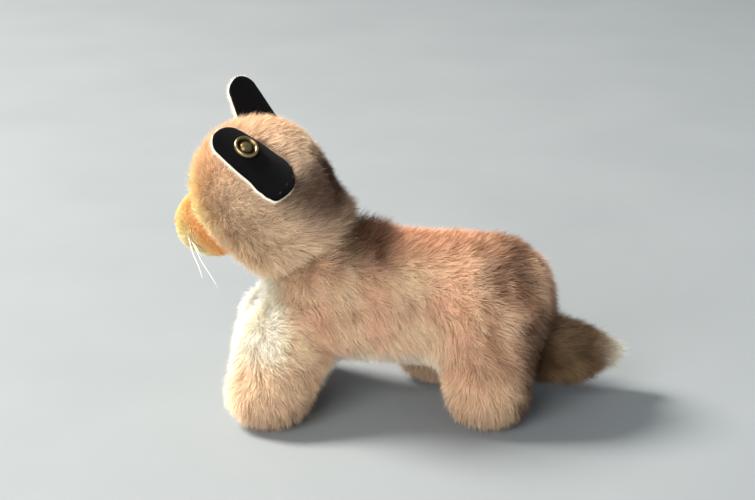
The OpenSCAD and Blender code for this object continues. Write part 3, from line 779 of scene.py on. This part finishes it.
EAR_TINT = srgb(250, 240, 222)
for side, place in EARS.items():
    back = ear_sheet(f"{side}_ear_velvet", side, place, -0.05, 0.65, 0.05, ripple=0.06)
    finish_piece(back, "head", VELVET, [f"{side}_ear_back"])
    lining = ear_sheet(f"{side}_ear_plush", side, place, 0.6, 1.55, 0.12, ripple=0.06)
    paint(lining, np.tile(EAR_TINT, (len(lining.data.vertices), 1)))
    finish_piece(lining, "head", LINING, [f"{side}_ear_lining"])
    rng = np.random.default_rng(15)
    count = int(EAR_HAIRS * SHARE)
    co = np.array([v.co for v in lining.data.vertices]) / MM
    poly = np.array([p.vertices[:] for p in lining.data.polygons])
    roots = sample(co, poly, count, rng)
    local = place.back(roots)
    keep = local[:, 1] < -0.55 - (CUP_R - np.sqrt(CUP_R ** 2 - local[:, 0] ** 2))
    roots, local = roots[keep], local[keep]
    outward = np.stack([local[:, 0] * 0.25, -0.6 * np.ones(len(local)), 0 * local[:, 0]], axis=1)
    z = np.clip(local[:, 2], EAR_LOW_R, EAR_L - EAR_TIP_R)
    sideways = unit(np.stack([local[:, 0], 0 * z, local[:, 2] - z], axis=1))
    from_middle = np.linalg.norm(np.stack([local[:, 0], local[:, 2] - z], axis=1), axis=1)
    close = ramp(from_middle - 0.8 * ear_width(z), 0, 1)
    normals = place.way(unit(outward + sideways * close[:, None] * 1.2))
    comb = place.way(np.tile([0, 0, 1.0], (len(roots), 1)))
    tints = np.tile(EAR_TINT, (len(roots), 1))
    hairs = strands(roots, normals, comb, 0.75, 0.3 * np.ones(len(roots)), tints, rng,
                    clump=0.2, width=0.08, stray=0.3, tip_gain=1.05, root_shade_gain=0.85)
    hair_pieces(f"{side}_ear_lining_pile", hairs, np.ones(len(roots), bool), "head", LINING)


# ---------- Stud ----------

STUD_X, STUD_Z, STUD_LIFT = -1.5, 14.6, 0.15
around = -math.degrees(math.asin(STUD_X / CUP_R))
cup_axis = EARS["left"].then([0, -CUP_R, STUD_Z], turn("z", around))
stud = cup_axis.then([0, CUP_R + STUD_LIFT, 0], turn("x", -90))
# The cap's half section, from the top of its dome through a groove to its rim: radius and height.
PROFILE = [
    (0, 1.2), (0.5, 1.18), (1.0, 1.02), (1.4, 0.76), (1.6, 0.42), (1.75, 0.3), (2.0, 0.32), (2.16, 0.62),
    (2.36, 0.92), (2.6, 1.02), (2.84, 0.94), (3.0, 0.68), (3.05, 0.36), (2.98, 0.08), (2.7, -0.02),
]
turns = 72
verts, faces = [], []
for r, z in PROFILE[1:]:
    for i in range(turns):
        a = 2 * math.pi * i / turns
        dent = 0.03 * math.sin(3 * a + 1) + 0.02 * math.sin(7 * a)
        verts.append((r * math.cos(a), r * math.sin(a), z + dent * (r > 2)))
verts.append((0, 0, PROFILE[0][1]))
top = len(verts) - 1
for i in range(turns):
    faces.append((top, i, (i + 1) % turns))
for k in range(len(PROFILE) - 2):
    for i in range(turns):
        j = (i + 1) % turns
        faces.append((k * turns + i, (k + 1) * turns + i, (k + 1) * turns + j, k * turns + j))
faces.append(tuple((len(PROFILE) - 2) * turns + i for i in range(turns))[::-1])
obj = face_object("ear_stud_cap", stud.out(np.array(verts)), faces)
reach = np.linalg.norm(np.array(verts)[:, :2], axis=1)
groove = ramp(reach, 1.2, 1.6) * ramp(-reach, -2.35, -2.1)
metal = mix(srgb(150, 130, 92), srgb(168, 148, 106), ramp(reach, 2.2, 2.7))
paint(obj, mix(metal, srgb(44, 34, 22), 0.9 * groove))
rounding = obj.modifiers.new("round", "SUBSURF")
rounding.levels = rounding.render_levels = 1
finish_piece(obj, "head", BRASS, ["ear_stud"])


# ---------- Threads ----------

def tubes(name, lines, radii, sides=8):
    """Round tubes along lists of points, with one radius for each point."""
    verts, faces = [], []
    for line, radius in zip(lines, radii):
        line = np.asarray(line, float)
        ways = unit(np.gradient(line, axis=0))
        ref = np.array([0.3, 0.2, 1.0]) if abs(ways[0][2]) < 0.9 else np.array([1.0, 0.2, 0.1])
        u = unit(np.cross(ways, ref))
        v = np.cross(ways, u)
        start = len(verts)
        for k, (p, r) in enumerate(zip(line, radius)):
            for i in range(sides):
                a = 2 * math.pi * i / sides
                verts.append(p + r * (math.cos(a) * u[k] + math.sin(a) * v[k]))
        for k in range(len(line) - 1):
            for i in range(sides):
                j = (i + 1) % sides
                b = start + k * sides
                faces.append((b + i, b + j, b + sides + j, b + sides + i))
        faces.append(tuple(start + i for i in range(sides))[::-1])
        faces.append(tuple(start + (len(line) - 1) * sides + i for i in range(sides)))
    return face_object(name, np.array(verts), faces)


def on_snout(x, z, lift, raise_mm):
    """A point on or above the muzzle's face, at x and z from its middle, turned up by lift degrees."""
    r = SNOUT_R + raise_mm
    y = -math.sqrt(max(r * r - x * x - z * z, 0.1))
    return HEAD.out(np.array(SNOUT) + turn("x", -lift) @ np.array([x, y, z]))


THREAD_R, NOSE_LIFT, MOUTH_RAISE = 0.2, 24, 0.18
lines = []
for i in range(13):
    x = -2.1 + 4.2 * i / 12
    top_z = 1.75 - 0.08 * x * x
    low_z = -1.5 + 0.62 * abs(x)
    line = []
    for k in range(8):
        z = top_z + (low_z - top_z) * k / 7
        line.append(on_snout(x, z, NOSE_LIFT, 0.12 + 0.3 * math.sin(math.pi * k / 7)))
    lines.append(line)
nose = tubes("nose_satin_stitch", lines, [[THREAD_R] * 8] * len(lines))
finish_piece(nose, "head", NOSE, ["nose_stitches"])

lines = [[on_snout(0, 0.6 - 2.4 * k / 7, 0, MOUTH_RAISE) for k in range(8)]]
for side in (-1, 1):
    line = []
    for k in range(10):
        z = -1.8 - 1.75 * (k / 9) ** 0.9 + 0.5 * (k / 9) ** 3
        line.append(on_snout(side * 2.45 * k / 9, z, 0, MOUTH_RAISE))
    lines.append(line)
mouth = tubes("mouth_stitch", lines, [[THREAD_R] * len(line) for line in lines])
finish_piece(mouth, "head", MOUTH, ["mouth_stitches"])

WHISKER_R = 0.13
# Each whisker: its turn outward, its dip and its length.
WHISKERS = ((123, 43, 17.5), (116, 31, 16), (128, 46, 8))
for side, name in ((1, "left"), (-1, "right")):
    lines, radii = [], []
    for i, (yaw, dip, long) in enumerate(WHISKERS):
        start = np.array(SNOUT) + 7.2 * np.array([side * 0.91, -0.41, 0.02 + 0.06 * i])
        y, d = math.radians(yaw), math.radians(dip)
        way = np.array([side * math.cos(d) * math.sin(y), -math.cos(d) * math.cos(y), -math.sin(d)])
        sag = np.array([side * 0.5, 0.2, 0.75])
        t = np.linspace(0, 1, 16)[:, None]
        line = start + long * t * way + 2.2 * (t - t * t) * sag * (1 if i < 2 else 0.5)
        line += 0.25 * np.sin(t * 9 + i) * np.array([0.3, 0.8, 0.2])
        lines.append(HEAD.out(line))
        radii.append(list(WHISKER_R * (1 - 0.45 * t[:, 0])))
    obj = tubes(f"{name}_whisker_threads", lines, radii)
    finish_piece(obj, "head", WHISKER, [f"{name}_whiskers"])

around = np.linspace(0, 2 * math.pi, 73)
DRAWN_R, DRAWN_Y = 5.6, -3.2
ring = [[DRAWN_R * math.cos(a), DRAWN_Y + 0.15 * math.sin(5 * a), DRAWN_R * math.sin(a)] for a in around]
obj = tubes("tail_drawn_thread", [TAIL.out(np.array(ring))], [[THREAD_R] * len(ring)])
finish_piece(obj, "tail", THREAD, ["tail_stitches"])

# ---------- Eyes ----------

def eye_material():
    """Painted glass under a clear coat."""
    m, nodes, links, shader = material("painted_glass_eye")
    place = nodes.new("ShaderNodeAttribute")
    place.attribute_name = "coat"
    noise = nodes.new("ShaderNodeTexNoise")
    noise.inputs["Scale"].default_value = 900
    span = nodes.new("ShaderNodeMapRange")
    span.inputs["To Min"].default_value = 0.75
    span.inputs["To Max"].default_value = 1.2
    scale = nodes.new("ShaderNodeVectorMath")
    scale.operation = "SCALE"
    coords = nodes.new("ShaderNodeTexCoord")
    links.new(coords.outputs["Object"], noise.inputs["Vector"])
    links.new(noise.outputs["Fac"], span.inputs["Value"])
    links.new(place.outputs["Color"], scale.inputs[0])
    links.new(span.outputs["Result"], scale.inputs["Scale"])
    links.new(scale.outputs["Vector"], shader.inputs["Base Color"])
    shader.inputs["Roughness"].default_value = 0.08
    shader.inputs["Coat Weight"].default_value = 1.0
    return m


EYE = eye_material()
for side, name in ((1, "left"), (-1, "right")):
    verts, faces = [], []
    rows, cols = 40, 64
    for k in range(rows + 1):
        a = math.pi * k / rows
        for i in range(cols):
            b = 2 * math.pi * i / cols
            row_r = EYE_R * math.sin(a)
            verts.append((row_r * math.cos(b), -EYE_R * math.cos(a), row_r * math.sin(b)))
    for k in range(rows):
        for i in range(cols):
            j = (i + 1) % cols
            faces.append((k * cols + i, k * cols + j, (k + 1) * cols + j, (k + 1) * cols + i))
    verts = np.array(verts)
    slit = np.sqrt((verts[:, 0] / 0.55) ** 2 + (verts[:, 2] / 1.7) ** 2)
    ring = np.sqrt(verts[:, 0] ** 2 + verts[:, 2] ** 2)
    tone = mix(srgb(196, 178, 60), srgb(120, 138, 44), ramp(ring, 0.8, 2.0))
    tone = mix(tone, srgb(20, 16, 12), ramp(ring, 2.1, 2.3))
    tone = mix(srgb(6, 6, 6), tone, ramp(slit, 0.9, 1.1))
    tone[verts[:, 1] > 0] = srgb(12, 10, 8)
    obj = face_object(f"{name}_glass_eye", EYES[side].out(verts), faces)
    paint(obj, tone)
    finish_piece(obj, "head", EYE, [f"{name}_eye"])

# ---------- CAD pieces that stay ----------

KEPT_PIECES = (
    (("body_stuffing", "tail_stuffing", "head_stuffing"), WOOL),
    (("front_leg_wire", "hind_leg_wire", "tail_wire", "eye_wires"), STEEL),
    (("neck_pin", "body_washer", "head_washer"), STEEL),
    (("body_disc", "head_disc"), BOARD),
    (("closing_stitches",), THREAD),
    (("ear_stitches",), EAR_THREAD),
)
for names, chosen in KEPT_PIECES:
    for name in names:
        mesh = frame["nodes"][name].data
        mesh.materials.clear()
        mesh.materials.append(chosen)

# ---------- Floor, lights and camera ----------

bpy.ops.mesh.primitive_plane_add(size=6, location=(0, 0, 0))
floor = bpy.context.object
floor.name = "floor"
floor.data.materials.append(two_tone("pale_table", srgb(145, 151, 154), srgb(150, 156, 159), 60, 0.6))

world = bpy.data.worlds.new("studio")
bpy.context.scene.world = world
world.use_nodes = True
world.node_tree.nodes["Background"].inputs["Color"].default_value = (0.86, 0.92, 1.0, 1)
world.node_tree.nodes["Background"].inputs["Strength"].default_value = 0.28


def area_light(name, place, aim, size, power, colour):
    """A round light at a place, turned towards what it aims at."""
    data = bpy.data.lights.new(name, "AREA")
    data.shape, data.size, data.energy, data.color = "DISK", size, power, colour
    obj = bpy.data.objects.new(name, data)
    obj.location = place
    way = Vector(aim) - Vector(place)
    obj.rotation_mode = "QUATERNION"
    obj.rotation_quaternion = way.to_track_quat("-Z", "Y")
    bpy.context.scene.collection.objects.link(obj)


area_light("key", (-0.27, -0.88, 0.98), (0, 0, 0.03), 0.44, 37, (1.0, 0.955, 0.885))
area_light("fill", (0.75, -0.4, 0.42), (0, 0, 0.03), 0.7, 8.5, (1.0, 0.975, 0.94))

scene = bpy.context.scene
scene.view_settings.view_transform = "Standard"
scene.view_settings.look = "None"

CAMERA_AWAY, CAMERA_UP, FOCAL_LENGTH = 0.42, 19, 80.7
tilt = math.radians(CAMERA_UP)
target = Vector((0, -4.75, 39.8)) * MM
away = Vector((math.cos(tilt), 0, math.sin(tilt)))
lens = bpy.data.cameras.new("camera")
lens.lens, lens.sensor_width = FOCAL_LENGTH, 36
lens.clip_start, lens.clip_end = 0.02, 20
camera = bpy.data.objects.new("camera", lens)
camera.location = target + away * CAMERA_AWAY
camera.rotation_mode = "QUATERNION"
camera.rotation_quaternion = (-away).to_track_quat("-Z", "Y")
scene.collection.objects.link(camera)
scene.camera = camera
